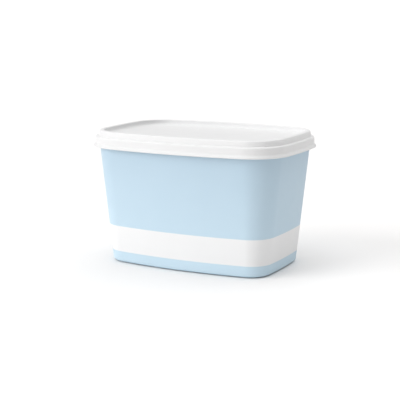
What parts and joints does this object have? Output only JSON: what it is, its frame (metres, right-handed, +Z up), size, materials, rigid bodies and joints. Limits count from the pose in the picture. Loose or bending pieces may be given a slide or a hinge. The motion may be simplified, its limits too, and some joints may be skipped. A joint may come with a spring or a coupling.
{
  "type": "ice cream tub",
  "caption": "Shut rectangular plastic ice cream tub, full, with drafted bowed sides, a printed white band and a push-on lid with a raised rim and a sunk panel.",
  "frame": {"origin": "middle of the plane that the foot ring stands on", "axes": "+X along the long sides, +Y towards the back long side, +Z up out of the lid"},
  "size_m": [0.1958, 0.1368, 0.1236],
  "materials": {
    "tub": "satin pale blue moulded plastic with a white printed band near the bottom",
    "lid": "satin white moulded plastic"
  },
  "bodies": {
    "root": {"tub": "tub", "lid": "lid"}
  },
  "joints": []
}
